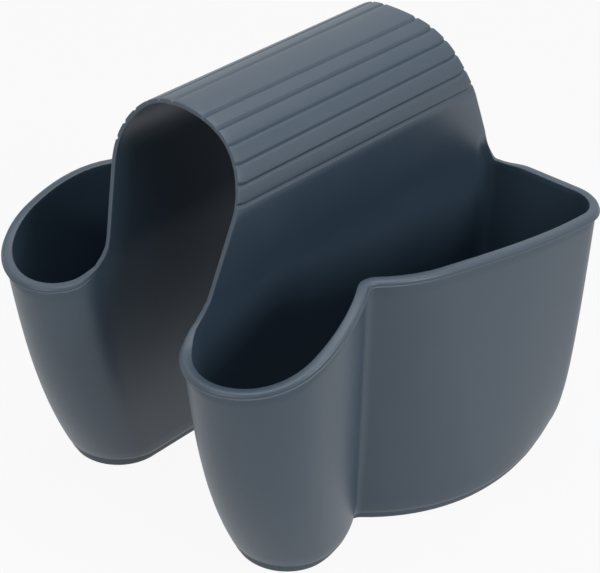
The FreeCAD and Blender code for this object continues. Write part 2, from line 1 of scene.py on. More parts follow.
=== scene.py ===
"""A kitchen sink caddy: a rubber strap over the sink's divider, with a pocket on each side.

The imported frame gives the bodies, the joints and the boxes of the solids. The rubber skins that
show are modelled around them here, in metres and in the frame's axes: X across the divider,
Y along it.
"""

import math

import bpy
from bpy.props import FloatProperty, FloatVectorProperty, IntProperty, PointerProperty
from mathutils import Matrix, Vector


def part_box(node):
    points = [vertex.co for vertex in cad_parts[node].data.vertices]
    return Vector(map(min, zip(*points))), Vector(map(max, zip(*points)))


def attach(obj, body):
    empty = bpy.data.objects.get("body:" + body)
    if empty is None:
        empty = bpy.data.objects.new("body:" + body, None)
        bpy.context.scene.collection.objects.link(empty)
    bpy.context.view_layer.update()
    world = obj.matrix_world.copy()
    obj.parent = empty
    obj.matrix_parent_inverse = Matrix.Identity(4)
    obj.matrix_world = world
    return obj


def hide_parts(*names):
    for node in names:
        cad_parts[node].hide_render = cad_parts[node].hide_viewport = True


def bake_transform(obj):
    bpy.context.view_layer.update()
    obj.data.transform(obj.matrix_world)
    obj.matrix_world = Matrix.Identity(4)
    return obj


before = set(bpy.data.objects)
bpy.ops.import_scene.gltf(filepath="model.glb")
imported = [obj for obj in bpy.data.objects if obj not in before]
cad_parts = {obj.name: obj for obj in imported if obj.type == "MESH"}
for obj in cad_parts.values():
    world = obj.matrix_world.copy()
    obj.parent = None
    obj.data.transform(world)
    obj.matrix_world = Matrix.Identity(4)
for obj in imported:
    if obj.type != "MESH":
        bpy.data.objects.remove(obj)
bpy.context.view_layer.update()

bl_info = {
    "name": "Kitchen Sink Caddy",
    "version": (1, 0, 0),
    "blender": (4, 2, 0),
    "location": "3D View > Sidebar > Caddy",
    "description": "Builds a two-pocket rubber sink caddy that hangs over the divider",
    "category": "Add Mesh",
}

MM = 0.001
# Upper corner of the right floor's solid.
FLOOR_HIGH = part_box("right_floor")[1]

# Faces along each arc of a pocket's outline, from the leg's near edge round to its far edge.
ARC_COLUMNS = (
    ("nose", 16),
    ("front", 18),
    ("cheek", 9),
    ("pinch", 8),
    ("shoulder", 12),
    ("side", 16),
    ("corner", 12),
    ("far", 20),
    ("back", 12),
)
# Faces across a leg, and up a leg and a wall.
LEG_COLUMNS = 24
LEG_ROWS = 12
WALL_ROWS = 24
# How much closer together a leg's columns are at its edges than in its middle.
EDGE_CROWDING = 0.8
# Columns of the far inner corner that still have some lip.
LIP_END = 3
# Row places beside a groove, and the softness of its sides, as shares of half its width.
GROOVE_STEPS = (0.0, 0.15, 0.5, 0.85, 1.0, 1.15)
GROOVE_EASE = 0.15
# Longest face along the arch between its grooves.
PLAIN_STEP = 1.7 * MM
# Degrees of the points along a quarter round.
ROUND_STEPS = (0.0, 30.0, 60.0, 90.0)
# Ease of the near flare and the far slant, as shares of the other turns' ease.
FLARE_EASE = 0.5
FAR_EASE = 0.625
# Round on the lip's lower edge.
UNDER_EDGE = 0.2 * MM
# Top of the parting line's face above the lip's lower edge, and where the line has run out.
SEAM_FACE = 0.4 * MM
SEAM_END = 0.6 * MM
# Height of the groove under the lip, as a multiple of its depth.
GROOVE_SPREAD = 2.5
# Rounds in which a column's lip height settles.
SETTLE_ROUNDS = 6
# How late a wall swings to its lip: the power of the height share.
LIP_SWING = 3
# Share of the far inner corner before the rim rises to the strap's edge, and half the length
# of that turn.
CORNER_HOLD = 0.27
CORNER_EASE = 0.1
# How far a floor's underside lies below the wall's lower edge.
FLOOR_DROP = 0.08 * MM
DRAIN_SIDES = 40
# Points closer than this are one.
WELD = 2e-6
SMOOTH_ANGLE = math.radians(50.0)
# Noise levels at which the chalky patches start and are full, and what they do to the roughness.
PATCH_RANGE = (0.32, 0.72)
PATCH_ROUGHNESS = (-0.04, 0.05)
GRAIN_STRENGTH = 0.35
PAPER_SIZE = 8.0

# Soft boxes: the setting that holds their power, their place and their width.
SOFT_BOXES = (
    ("overhead", (0.0, 0.05, 1.15), 1.1),
    ("right_box", (1.2, 0.1, 0.66), 0.5),
    ("front_box", (0.0, -1.35, 0.3), 0.4),
)


def length(label, text, millimetres):
    """A length property with its default in millimetres."""
    return FloatProperty(
        name=label,
        description=text,
        default=millimetres * MM,
        precision=5,
        subtype="DISTANCE",
        unit="LENGTH",
    )


def angle(label, text, degrees):
    """An angle property with its default in degrees."""
    return FloatProperty(
        name=label,
        description=text,
        default=math.radians(degrees),
        subtype="ANGLE",
        unit="ROTATION",
    )


def share(label, text, value, top=1.0):
    """A plain factor."""
    return FloatProperty(name=label, description=text, default=value, min=0.0, max=top)


def colour(label, text, value):
    """A linear colour."""
    return FloatVectorProperty(
        name=label, description=text, default=value, size=3, min=0.0, max=1.0, subtype="COLOR"
    )


OUTLINE_SIZES = (
    ("half_gap", length, "Half gap", "Middle of the divider to the leg", 23.5, 23.6),
    ("nose_y", length, "Nose place", "Y of the round nose's middle", -45.9, -75.5),
    ("nose_radius", length, "Nose radius", "Round between the leg and the front", 20.4, 18.2),
    ("front_radius", length, "Front radius", "Round between the front and the cheek", 20.5, 29.9),
    ("cheek_radius", length, "Cheek radius", "Outer side of the small lobe", 40.0, 61.8),
    ("pinch_radius", length, "Pinch radius", "Valley between the two lobes", 3.0, 5.0),
    ("shoulder_radius", length, "Shoulder radius", "Wall behind the pinch", 74.5, 46.8),
    ("shoulder_angle", angle, "Shoulder angle", "Where the shoulder meets the side", 8.3, 12.0),
    ("side_radius", length, "Side radius", "Bow of the long side", 94.8, 374.0),
    ("side_x", length, "Side reach", "X of the long side at its widest", 82.0, 81.7),
    ("side_y", length, "Side place", "Y of the long side at its widest", 38.7, 74.3),
    ("corner_radius", length, "Corner radius", "Far outer corner", 17.0, 15.3),
    ("far_y", length, "Far wall", "Y of the far wall", 85.5, 90.0),
)


def outline_sizes(place):
    """The properties of one outline: place 0 at the foot, 1 at the rim."""
    return {
        field: kind(label, text, defaults[place])
        for field, kind, label, text, *defaults in OUTLINE_SIZES
    }


class FootOutline(bpy.types.PropertyGroup):
    """Outline of a pocket at its floor"""

    __annotations__ = outline_sizes(0)


class RimOutline(bpy.types.PropertyGroup):
    """Outline of a pocket above its lip"""

    __annotations__ = outline_sizes(1)


class StrapSizes(bpy.types.PropertyGroup):
    """Sizes of the strap over the divider"""

    height: length("Height", "Top of the arch above the sink's floor", 164.97)
    crown_radius: length("Crown radius", "Outside of the flatter top of the arch", 39.2)
    crown_bend: angle("Crown bend", "Where the top of the arch meets its shoulders", 13.0)
    shoulder_radius: length("Shoulder radius", "Outside of the arch's shoulders", 26.75)
    sheet: length("Sheet", "Thickness of the strap and the walls", 1.8)
    near_end: length("Near end", "Y of the near edge on top of the arch", -53.55)
    near_slant: angle("Near slant", "Slant of the near edge on the flat sheet", 13.9)
    near_turn: length("Near turn", "Down the sheet to the near edge's slant", 23.0)
    near_flare: angle("Near flare", "Turn of the near edge towards the lip", 47.7)
    near_flare_turn: length("Near flare turn", "Down the sheet to the near flare", 80.0)
    far_end: length("Far end", "Y of the far edge on top of the arch", 56.2)
    far_slant: angle("Far slant", "Slant of the far edge on the flat sheet", 13.2)
    far_turn: length("Far turn", "Down the sheet to the far edge's slant", 5.0)
    far_sweep: angle("Far sweep", "Turn of the far edge towards the far wall", 19.0)
    far_sweep_turn: length("Far sweep turn", "Down the sheet to the far sweep", 36.5)
    edge_ease: length("Edge ease", "Half the length of a turn of the edges", 8.0)
    join_ease: length("Join ease", "Length in which the edges settle on the lip", 14.0)
    neck_height: length("Neck height", "Where the legs start to lean out to the arch", 104.0)
    neck_reach: length("Neck reach", "Half the height of the bend at the neck", 3.9)
    neck_fade: length("Neck fade", "How far round the pocket the lean dies out", 22.0)
    right_groove: length("Right groove", "From the arch's top to the first groove right", 8.8)
    left_groove: length("Left groove", "From the arch's top to the first groove left", 5.9)
    groove_pitch: length("Groove pitch", "From groove to groove", 6.68)
    groove_count: IntProperty(
        name="Grooves", description="Grooves on each side of the plain panel", default=6, min=1
    )
    groove_depth: length("Groove depth", "Depth of a groove", 0.75)
    groove_width: length("Groove width", "Width of a groove", 1.9)
    edge_radius: length("Edge radius", "Round on the strap's and the lip's edges", 0.4)


class PocketSizes(bpy.types.PropertyGroup):
    """Sizes that both outlines of a pocket share"""

    nose_spread: length("Nose spread", "How much wider the nose's round gets up to the rim", 3.0)
    back_radius: length("Back radius", "Far inner corner", 7.0)
    back_turn: angle("Back turn", "What that corner has left to turn at the strap's edge", 8.0)
    far_skew: length("Far skew", "How far the far wall's rim draws in towards the leg", 0.75)
    shin_height: share("Shin height", "Height share of the shin", 0.30)
    shin_outline: share("Shin outline", "How far the shin is from the foot to the rim", 0.47)
    belly_height: share("Belly height", "Height share of the belly", 0.65)
    belly_outline: share("Belly outline", "How far the belly is from the foot to the rim", 0.78)
    nose_rim: length("Nose rim", "Height of the lip at the nose", 92.4)
    crest_rim: length("Crest rim", "Height of the lip at its crest", 111.2)
    far_rim: length("Far rim", "Height of the lip at the far wall", 102.2)
    crest_y: length("Crest place", "Y of the lip's crest", -27.0)
    overrun: length("Overrun", "How far the lip's curve runs past the outline", 5.0)
    lip_height: length("Lip height", "Height of the lip's outside", 2.2)
    lip_overhang: length("Lip overhang", "How far the lip stands out", 1.1)
    lip_inset: length("Lip inset", "How far the wall thickens inwards up to the lip", 0.9)
    lip_round: length("Lip round", "Round on the lip's upper outer edge", 1.2)
    lip_seam: length("Lip seam", "How far the mould's parting line stands out below the lip", 0.35)
    lip_groove: length("Lip groove", "Depth of the fine groove under the lip", 0.35)
    near_lift: length("Near lift", "Rise of the lip where it meets the near edge", 1.5)
    near_lift_run: length("Near lift run", "Length of that rise", 10.0)
    near_fade: length("Near fade", "Length in which the lip grows from the near edge", 11.0)
    far_lift: length("Far lift", "Rise of the rim round the far inner corner", 12.0)
    far_dip: length("Far dip", "Sag of the rim before that rise", 1.7)
    far_dip_run: length("Far dip run", "Length of the sag along the far wall", 13.0)
    far_fade: length("Far fade", "Length in which the lip grows along the far wall", 15.0)


class FloorSizes(bpy.types.PropertyGroup):
    """Sizes of a pocket's floor and foot ring"""

    foot_height: length("Foot height", "Height of the ring under the floor", 2.6)
    foot_inset: length("Foot inset", "From the wall to the ring", 2.2)
    foot_width: length("Foot width", "Width of the ring", 2.6)
    foot_round: length("Foot round", "Round on the ring's lower edges", 0.5)
    wall_round: length("Wall round", "Round on the wall's lower edge", 3.0)
    inner_round: length("Inner round", "Round between the floor and the wall", 3.0)
    tuck: length("Tuck", "How far the floor reaches into the wall", 0.8)
    drain_diameter: length("Drain diameter", "Diameter of a drain hole", 6.0)
    drain_pitch: length("Drain pitch", "From hole to hole", 24.0)
    drain_start: length("Drain start", "Y of the first hole", -40.3)
    drain_reach: length("Drain reach", "From the leg to the holes", 21.0)
    drain_count: IntProperty(name="Drains", description="Holes in a floor", default=5, min=0)


class RubberFinish(bpy.types.PropertyGroup):
    """Colours of the rubber"""

    tone: colour("Tone", "Colour of the rubber", (0.042, 0.074, 0.112))
    bloom: colour("Bloom", "Colour of the paler, chalky patches", (0.049, 0.082, 0.120))
    roughness: share("Roughness", "Roughness of the satin surface", 0.42)
    gloss: share("Gloss", "Specular level of the rubber", 0.7)
    grain: length("Grain", "Height of the fine mould grain", 0.02)


class StageSettings(bpy.types.PropertyGroup):
    """Floor, light and camera"""

    paper: colour("Paper", "Colour of the floor", (0.6, 0.6, 0.6))
    glow: share("Glow", "How much of the floor shows as plain white", 0.93)
    ambient: share("Ambient", "Light from all round", 0.02, top=10.0)
    overhead: share("Overhead", "Power of the soft box above, in watts", 7.5, top=1000.0)
    right_box: share("Right box", "Power of the soft box on the right, in watts", 5.6, top=1000.0)
    front_box: share("Front box", "Power of the soft box in front, in watts", 2.8, top=1000.0)
    azimuth: angle("Azimuth", "Camera's bearing from the front", 40.80)
    elevation: angle("Elevation", "Camera's height above the floor", 32.95)
    roll: angle("Roll", "Camera's turn about its own axis", 2.10)
    distance: length("Distance", "Camera to its aim", 688.0)
    lens: share("Lens", "Focal length in millimetres", 111.86, top=1000.0)
    aim: FloatVectorProperty(
        name="Aim",
        description="Point in the middle of the picture",
        default=(0.01008, -0.00367, 0.07538),
        size=3,
        subtype="XYZ",
        unit="LENGTH",
    )


class CaddySettings(bpy.types.PropertyGroup):
    """All sizes and colours of the caddy"""

    foot: PointerProperty(type=FootOutline)
    rim: PointerProperty(type=RimOutline)
    strap: PointerProperty(type=StrapSizes)
    pocket: PointerProperty(type=PocketSizes)
    floor: PointerProperty(type=FloorSizes)
    rubber: PointerProperty(type=RubberFinish)
    stage: PointerProperty(type=StageSettings)

    def items_by_group(self):
        """Heading and settings of each group, for the panel."""
        return [(group.capitalize(), getattr(self, group)) for group in self.__annotations__]


def smooth_step(value):
    """Rise from 0 to 1 with level ends."""
    value = min(max(value, 0.0), 1.0)
    return value * value * (3.0 - 2.0 * value)


def eased_run(value, ease):
    """Zero before a turn and the run after it, with a soft turn between."""
    if value >= ease:
        return value
    bent = max(value + ease, 0.0)
    return bent * bent / (4.0 * ease)


def quarter_round(radius):
    """Points of a quarter round: way left along its first side, way gone along its second."""
    bends = [math.radians(step) for step in ROUND_STEPS]
    return [(radius * (1.0 - math.sin(bend)), radius * (1.0 - math.cos(bend))) for bend in bends]


def turned(bearing):
    """Unit direction of a bearing in the floor plane."""
    return Vector((math.cos(bearing), math.sin(bearing)))


def bearing_of(direction):
    """Bearing of a direction in the floor plane."""
    return math.atan2(direction.y, direction.x)


class PocketForm:
    """Outline and lip of the right pocket."""

    def __init__(self, caddy):
        self.foot = caddy.foot
        self.rim = caddy.rim
        self.sizes = caddy.pocket
        self.low = FLOOR_HIGH.z
        self.high = self.sizes.crest_rim + self.sizes.overrun
        self.columns = [("nose", 0.0)]
        for arc, faces in ARC_COLUMNS:
            self.columns += [(arc, (step + 1) / faces) for step in range(faces)]
        self.last = len(self.columns) - 1
        self.corner_column = self.columns.index(("far", 1.0))
        self.tops = [self.top_of(column) for column in range(len(self.columns))]

    def outline_share(self, height):
        """Share of the rim's outline at a height: the cubic through foot, shin, belly and rim."""
        knots = (
            (0.0, 0.0),
            (self.sizes.shin_height, self.sizes.shin_outline),
            (self.sizes.belly_height, self.sizes.belly_outline),
            (1.0, 1.0),
        )
        place = (height - self.low) / (self.high - self.low)
        total = 0.0
        for knot, value in knots:
            for other, _ in knots:
                if other != knot:
                    value *= (place - other) / (knot - other)
            total += value
        return total

    def mixed(self, field, outline):
        """One size of the outline between the foot and the rim."""
        low = getattr(self.foot, field)
        return low + (getattr(self.rim, field) - low) * outline

    def arcs(self, outline):
        """Middle, radius and bearings of each arc of an outline."""
        nose_radius = self.mixed("nose_radius", outline)
        front_radius = self.mixed("front_radius", outline)
        cheek_radius = self.mixed("cheek_radius", outline)
        shoulder_radius = self.mixed("shoulder_radius", outline)
        side_radius = self.mixed("side_radius", outline)
        corner_radius = self.mixed("corner_radius", outline)
        turn = self.mixed("shoulder_angle", outline)
        inner_x = self.mixed("half_gap", outline)
        far_y = self.mixed("far_y", outline)
        pinch_radius = self.mixed("pinch_radius", outline)
        back_radius = self.sizes.back_radius
        nose_y = self.mixed("nose_y", outline)
        front = Vector((inner_x + nose_radius, nose_y - nose_radius + front_radius))
        # The nose touches the leg's plane and, from inside, the front.
        spread = self.sizes.nose_spread * outline**2
        nose_radius += spread
        drop = math.sqrt((front_radius - nose_radius) ** 2 - spread**2)
        nose = front + Vector((spread, -drop))
        nose_start = math.pi + math.asin((nose.y - nose_y) / nose_radius)
        nose_end = bearing_of(nose - front)
        cheek = Vector((front.x + front_radius - cheek_radius, front.y))
        side = Vector((self.mixed("side_x", outline) - side_radius, self.mixed("side_y", outline)))
        shoulder = side + turned(-turn) * (side_radius - shoulder_radius)
        # The pinch touches the cheek and the shoulder from outside.
        reach_cheek = cheek_radius + pinch_radius
        reach_shoulder = shoulder_radius + pinch_radius
        span = shoulder - cheek
        gap = span.length
        along = (gap**2 + reach_cheek**2 - reach_shoulder**2) / (2.0 * gap)
        across = math.sqrt(reach_cheek**2 - along**2)
        forward = span / gap
        pinch = cheek + forward * along + Vector((forward.y, -forward.x)) * across
        corner_y = far_y - corner_radius
        corner_reach = side_radius - corner_radius
        corner_x = side.x + math.sqrt(corner_reach**2 - (corner_y - side.y) ** 2)
        corner = Vector((corner_x, corner_y))
        back = Vector((inner_x + back_radius, far_y - self.sizes.far_skew * outline - back_radius))
        cheek_end = bearing_of(pinch - cheek)
        shoulder_start = bearing_of(pinch - shoulder)
        corner_start = bearing_of(corner - side)
        quarter = math.pi / 2.0
        return {
            "nose": (nose, nose_radius, nose_start, nose_end + 2.0 * math.pi),
            "front": (front, front_radius, nose_end, 0.0),
            "cheek": (cheek, cheek_radius, 0.0, cheek_end),
            "pinch": (pinch, pinch_radius, cheek_end + math.pi, shoulder_start + math.pi),
            "shoulder": (shoulder, shoulder_radius, shoulder_start, -turn),
            "side": (side, side_radius, -turn, corner_start),
            "corner": (corner, corner_radius, corner_start, quarter),
            "back": (back, back_radius, quarter, math.pi - self.sizes.back_turn),
        }

    def wall(self, column, height):
        """Point on the outside of the wall and its level direction out."""
        arcs = self.arcs(self.outline_share(height))
        arc, place = self.columns[column]
        if arc == "far":
            start = arcs["corner"][0] + Vector((0.0, arcs["corner"][1]))
            end = arcs["back"][0] + Vector((0.0, arcs["back"][1]))
            point = start.lerp(end, place)
            along = (start - end).normalized()
            out = Vector((-along.y, along.x))
        else:
            middle, radius, start, end = arcs[arc]
            out = turned(start + (end - start) * place)
            point = middle + out * radius
            if arc == "pinch":
                out = -out
        return Vector((point.x, point.y, height)), Vector((out.x, out.y, 0.0))

    def leg_bow(self, y, height):
        """How far the leg has left its plane at its near or far end, and its turn there."""
        arcs = self.arcs(self.outline_share(min(height, self.high)))
        nose, nose_radius = arcs["nose"][:2]
        back, back_radius = arcs["back"][:2]
        if y < nose.y:
            turn = -math.asin(min((nose.y - y) / nose_radius, 1.0))
            return nose_radius * (1.0 - math.cos(turn)), turn
        turn = math.asin(min(max(y - back.y, 0.0) / back_radius, 1.0))
        return back_radius * (1.0 - math.cos(turn)), turn

    def lip_height(self, y):
        """Height of the lip along the divider: low at the nose, highest at the crest."""
        front = self.rim.nose_y - self.rim.nose_radius - self.sizes.overrun
        far = self.rim.far_y + self.sizes.overrun
        crest = self.sizes.crest_rim
        if y < self.sizes.crest_y:
            rise = smooth_step((y - front) / (self.sizes.crest_y - front))
            return self.sizes.nose_rim + (crest - self.sizes.nose_rim) * rise
        fall = smooth_step((y - self.sizes.crest_y) / (far - self.sizes.crest_y))
        return crest + (self.sizes.far_rim - crest) * fall

    def top_of(self, column):
        """Height of the rim on a column of the wall: the lip with its rises at the leg's edges."""
        height = self.sizes.crest_rim
        for _ in range(SETTLE_ROUNDS):
            height = self.lip_height(self.wall(column, height)[0].y)
        arc, place = self.columns[column]
        point = self.wall(column, height)[0]
        if arc == "nose":
            run = (point - self.wall(0, height)[0]).length
            height += self.sizes.near_lift * (1.0 - smooth_step(run / self.sizes.near_lift_run))
        elif arc == "far":
            run = (point - self.wall(self.corner_column, height)[0]).length
            height -= self.sizes.far_dip * (1.0 - smooth_step(run / self.sizes.far_dip_run))
        elif arc == "back":
            rise = eased_run(place - CORNER_HOLD, CORNER_EASE) / (1.0 - CORNER_HOLD)
            height += self.sizes.far_lift * rise - self.sizes.far_dip
        return height


class StrapForm:
    """Arch, legs and edges of the strap, right of the divider's middle."""

    def __init__(self, caddy, pocket):
        self.sizes = caddy.strap
        self.pocket = pocket
        sizes = self.sizes
        self.crown = Vector((0.0, 0.0, sizes.height - sizes.crown_radius))
        self.bend_run = sizes.crown_radius * sizes.crown_bend
        step = sizes.crown_radius - sizes.shoulder_radius
        reach = Vector((math.sin(sizes.crown_bend), 0.0, math.cos(sizes.crown_bend)))
        self.shoulder = self.crown + reach * step
        # The leg leaves the neck on the line that touches the inside of the shoulder.
        inner = sizes.shoulder_radius - sizes.sheet
        across = self.gap_at(sizes.neck_height) - self.shoulder.x
        rise = self.shoulder.z - sizes.neck_height
        self.lean = math.asin(inner / math.hypot(across, rise)) - math.atan2(across, rise)
        end = math.pi / 2.0 + self.lean
        self.arch_run = self.bend_run + sizes.shoulder_radius * (end - sizes.crown_bend)
        self.spring = self.shoulder.z - inner * math.sin(self.lean)
        self.near = pocket.wall(0, pocket.tops[0])[0]
        self.far = pocket.wall(pocket.last, pocket.tops[-1])[0]

    def gap_at(self, height):
        """Half the gap between the legs below the neck."""
        return self.pocket.mixed("half_gap", self.pocket.outline_share(height))

    def lean_at(self, height):
        """How far the leg leans out at a height, and its slope there."""
        reach = self.sizes.neck_reach
        above = height - self.sizes.neck_height
        rate = math.tan(self.lean)
        slope = min(max((above + reach) / (2.0 * reach), 0.0), 1.0) * rate
        return eased_run(above, reach) * rate, slope

    def leg_x(self, height):
        """X of the leg's face on the divider's side."""
        return self.gap_at(min(height, self.sizes.neck_height)) + self.lean_at(height)[0]

    def leg_face(self, y, height):
        """Point on the leg's face on the divider's side, and its direction out."""
        shift, turn = self.pocket.leg_bow(y, height)
        slope = self.lean_at(height)[1]
        normal = Vector((-math.cos(turn), math.sin(turn), slope)).normalized()
        return Vector((self.leg_x(height) + shift, y, height)), normal

    def near_y(self, run):
        """Y of the near edge at a run down the sheet from the top of the arch."""
        sizes = self.sizes
        ease = sizes.edge_ease
        slant = math.tan(sizes.near_slant) * eased_run(run - sizes.near_turn, ease)
        flare = eased_run(run - sizes.near_flare_turn, ease * FLARE_EASE)
        return sizes.near_end - slant - math.tan(sizes.near_flare) * flare

    def far_y(self, run):
        """Y of the far edge at a run down the sheet from the top of the arch."""
        sizes = self.sizes
        ease = sizes.edge_ease
        slant = math.tan(sizes.far_slant) * eased_run(run - sizes.far_turn, ease * FAR_EASE)
        sweep = math.tan(sizes.far_sweep) * eased_run(run - sizes.far_sweep_turn, ease)
        return sizes.far_end + slant + sweep

    def leg_edge(self, edge, end, height):
        """Point of a leg's edge at a height, settled on the rim's end, and its direction out."""

        def run(level):
            return self.arch_run + (self.spring - level) / math.cos(self.lean)

        settle = 1.0 - smooth_step((height - end.z) / self.sizes.join_ease)
        y = edge(run(height)) + (end.y - edge(run(end.z))) * settle
        return self.leg_face(y, height)

    def groove(self, run, grooves):
        """Depth of the grooves at a run along the arch."""
        nearest = min(abs(run - groove) for groove in grooves)
        inside = 1.0 - 2.0 * nearest / self.sizes.groove_width
        return self.sizes.groove_depth * eased_run(inside, GROOVE_EASE)

    def arch_runs(self, start, end, grooves):
        """Runs of the rows on the arch, close together at the grooves."""
        half = self.sizes.groove_width / 2.0
        marks = {start, end}
        for groove in grooves:
            for step in GROOVE_STEPS:
                marks |= {groove - step * half, groove + step * half}
        marks = sorted(mark for mark in marks if start <= mark <= end)
        rows = [marks[0]]
        for mark in marks[1:]:
            last = rows[-1]
            parts = max(1, math.ceil((mark - last) / PLAIN_STEP))
            rows += [last + (mark - last) * (part + 1) / parts for part in range(parts)]
        return rows

    def arch_face(self, run):
        """Point on the arch's face on the divider's side at Y 0, and its direction out."""
        sizes = self.sizes
        bearing = run / sizes.crown_radius
        centre, radius = self.crown, sizes.crown_radius
        if abs(run) > self.bend_run:
            hand = math.copysign(1.0, run)
            bearing = hand * (sizes.crown_bend + (abs(run) - self.bend_run) / sizes.shoulder_radius)
            centre = Vector((hand * self.shoulder.x, 0.0, self.shoulder.z))
            radius = sizes.shoulder_radius
        normal = Vector((-math.sin(bearing), 0.0, -math.cos(bearing)))
        return centre - normal * (radius - sizes.sheet), normal

    def arch_row(self, run, grooves):
        """One row on the arch: near and far end, direction out, groove depth."""
        face, normal = self.arch_face(run)
        near = Vector((face.x, self.near_y(abs(run)), face.z))
        far = Vector((face.x, self.far_y(abs(run)), face.z))
        return near, far, normal, self.groove(run, grooves)


def rim_section(caddy, lip):
    """Section of the strap's edge (lip 0) or the pocket's lip (lip 1), from outside to inside.

    Each point is (out, up) from the upper outer edge of the plain sheet.
    """
    sizes = caddy.pocket
    sheet = caddy.strap.sheet
    edge = caddy.strap.edge_radius
    groove = sizes.lip_groove
    height = sizes.lip_height
    overhang = sizes.lip_overhang * lip
    inset = sizes.lip_inset * lip
    seam = sizes.lip_seam * lip
    bead = edge + (sizes.lip_round - edge) * lip
    foot = -height - GROOVE_SPREAD * groove
    points = [(0.0, foot), (-groove * lip, -height - groove), (-groove * lip, -height)]
    for ahead, done in quarter_round(UNDER_EDGE):
        points.append((overhang + seam - ahead * lip, -height + done))
    points.append((overhang + seam, -height + SEAM_FACE))
    points.append((overhang, -height + SEAM_END))
    points += [(overhang - done, -ahead) for ahead, done in quarter_round(bead)]
    points += [(-sheet - inset + ahead, -done) for ahead, done in quarter_round(edge)]
    points.append((-sheet - inset, foot))
    return points


class RimPath:
    """The free edge of a sheet: points on its outer face with their directions out and up."""

    def __init__(self, caddy, points, normals, lips, grooves):
        self.points = points
        self.normals = normals
        self.grooves = grooves
        self.sheet = caddy.strap.sheet
        self.ups = []
        for index, normal in enumerate(normals):
            before = points[max(index - 1, 0)]
            after = points[min(index + 1, len(points) - 1)]
            self.ups.append(normal.cross(after - before).normalized())
        self.sections = [rim_section(caddy, lip) for lip in lips]
        self.steps = len(self.sections[0]) - 1

    def place(self, index, step):
        """Point of the rounded edge."""
        out, up = self.sections[index][step]
        if out < 0.0:
            out *= 1.0 - self.grooves[index] / self.sheet
        return self.points[index] + self.normals[index] * out + self.ups[index] * up


def laid_grid(columns, rows, place):
    """Add a grid and lay its points where place(column, row) says."""
    bpy.ops.mesh.primitive_grid_add(x_subdivisions=columns, y_subdivisions=rows, size=1.0)
    grid = bpy.context.active_object
    for vertex in grid.data.vertices:
        column = round((vertex.co.x + 0.5) * columns)
        row = round((vertex.co.y + 0.5) * rows)
        vertex.co = place(column, row)
    return grid


def joined(name, parts):
    """Join the parts to one piece, weld their edges, close what is open and turn the faces out."""
    bpy.ops.object.select_all(action="DESELECT")
    for part in parts:
        part.select_set(True)
    bpy.context.view_layer.objects.active = parts[0]
    if len(parts) > 1:
        bpy.ops.object.join()
    piece = bpy.context.active_object
    piece.name = name
    piece.data.name = name
    bpy.ops.object.mode_set(mode="EDIT")
    bpy.ops.mesh.select_all(action="SELECT")
    bpy.ops.mesh.remove_doubles(threshold=WELD)
    bpy.ops.mesh.select_mode(type="EDGE")
    bpy.ops.mesh.select_all(action="DESELECT")
    bpy.ops.mesh.select_non_manifold()
    bpy.ops.mesh.fill_holes(sides=0)
    bpy.ops.mesh.select_all(action="SELECT")
    bpy.ops.mesh.normals_make_consistent(inside=False)
    bpy.ops.object.mode_set(mode="OBJECT")
    bpy.ops.object.shade_smooth_by_angle(angle=SMOOTH_ANGLE)
    return piece


def mirrored(piece):
    """Turn a piece made on the right into its twin on the left."""
    for vertex in piece.data.vertices:
        vertex.co.x = -vertex.co.x
    piece.data.flip_normals()
    return piece


def leg_share(column):
    """Share of the leg's width at a column, crowded towards both edges."""
    place = column / LEG_COLUMNS
    return place - EDGE_CROWDING * math.sin(2.0 * math.pi * place) / (2.0 * math.pi)


def groove_runs(caddy, side):
    """Runs of one side's grooves, measured from the top of the arch."""
    sizes = caddy.strap
    first = sizes.right_groove if side > 0 else sizes.left_groove
    return [first + step * sizes.groove_pitch for step in range(sizes.groove_count)]


def crown_piece(caddy):
    """The top of the strap between the first grooves."""
    pocket = PocketForm(caddy)
    strap = StrapForm(caddy, pocket)
    right = groove_runs(caddy, 1)
    left = [-run for run in groove_runs(caddy, -1)]
    grooves = right + left
    runs = strap.arch_runs(left[0], right[0], grooves)
    near, far, normals, cuts = zip(*(strap.arch_row(run, grooves) for run in runs))
    count = len(runs)
    zero = [0.0] * count
    near_path = RimPath(caddy, near, normals, zero, cuts)
    far_path = RimPath(caddy, far[::-1], normals[::-1], zero, cuts[::-1])
    parts = []
    margin = near_path.sections[0][0][1]
    for depth in (0.0, 1.0):

        def place(column, row, depth=depth):
            back = count - 1 - row
            start = near[row] + near_path.ups[row] * margin
            end = far[row] + far_path.ups[back] * margin
            point = start.lerp(end, column / LEG_COLUMNS)
            return point - normals[row] * (near_path.sheet - cuts[row]) * depth

        parts.append(laid_grid(LEG_COLUMNS, count - 1, place))
    for path in (near_path, far_path):
        parts.append(laid_grid(count - 1, path.steps, path.place))
    return joined("crown_skin", parts)


